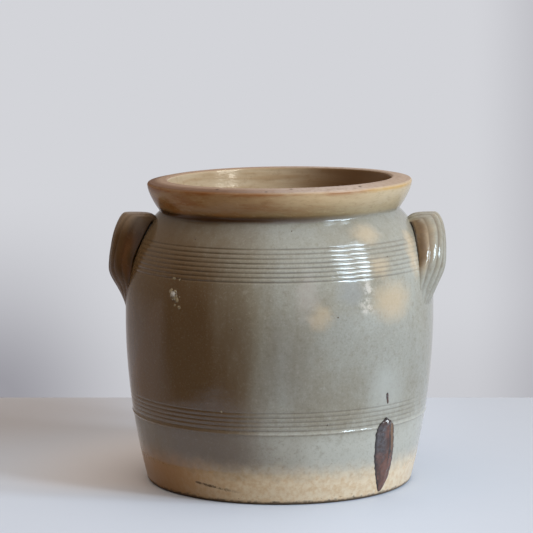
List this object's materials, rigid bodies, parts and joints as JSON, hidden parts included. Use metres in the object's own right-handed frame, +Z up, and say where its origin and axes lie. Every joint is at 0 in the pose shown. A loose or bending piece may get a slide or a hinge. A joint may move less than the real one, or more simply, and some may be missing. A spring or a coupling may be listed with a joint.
{
  "type": "confit pot",
  "caption": "Wheel-thrown salt-glazed stoneware storage jar with a full belly, flared collar, combed bands and fluted strap handles.",
  "frame": {"origin": "centre of the flat base, on the table", "axes": "+Z up along the axis of the pot, +X towards the right handle, -Y towards the front"},
  "size_m": [0.2534, 0.2326, 0.23],
  "materials": {
    "stoneware": "glossy salt glaze",
    "slag": "glossy"
  },
  "bodies": {
    "root": {"pot_body": "stoneware", "left_handle": "stoneware", "right_handle": "stoneware", "iron_drip": "slag"}
  },
  "joints": []
}
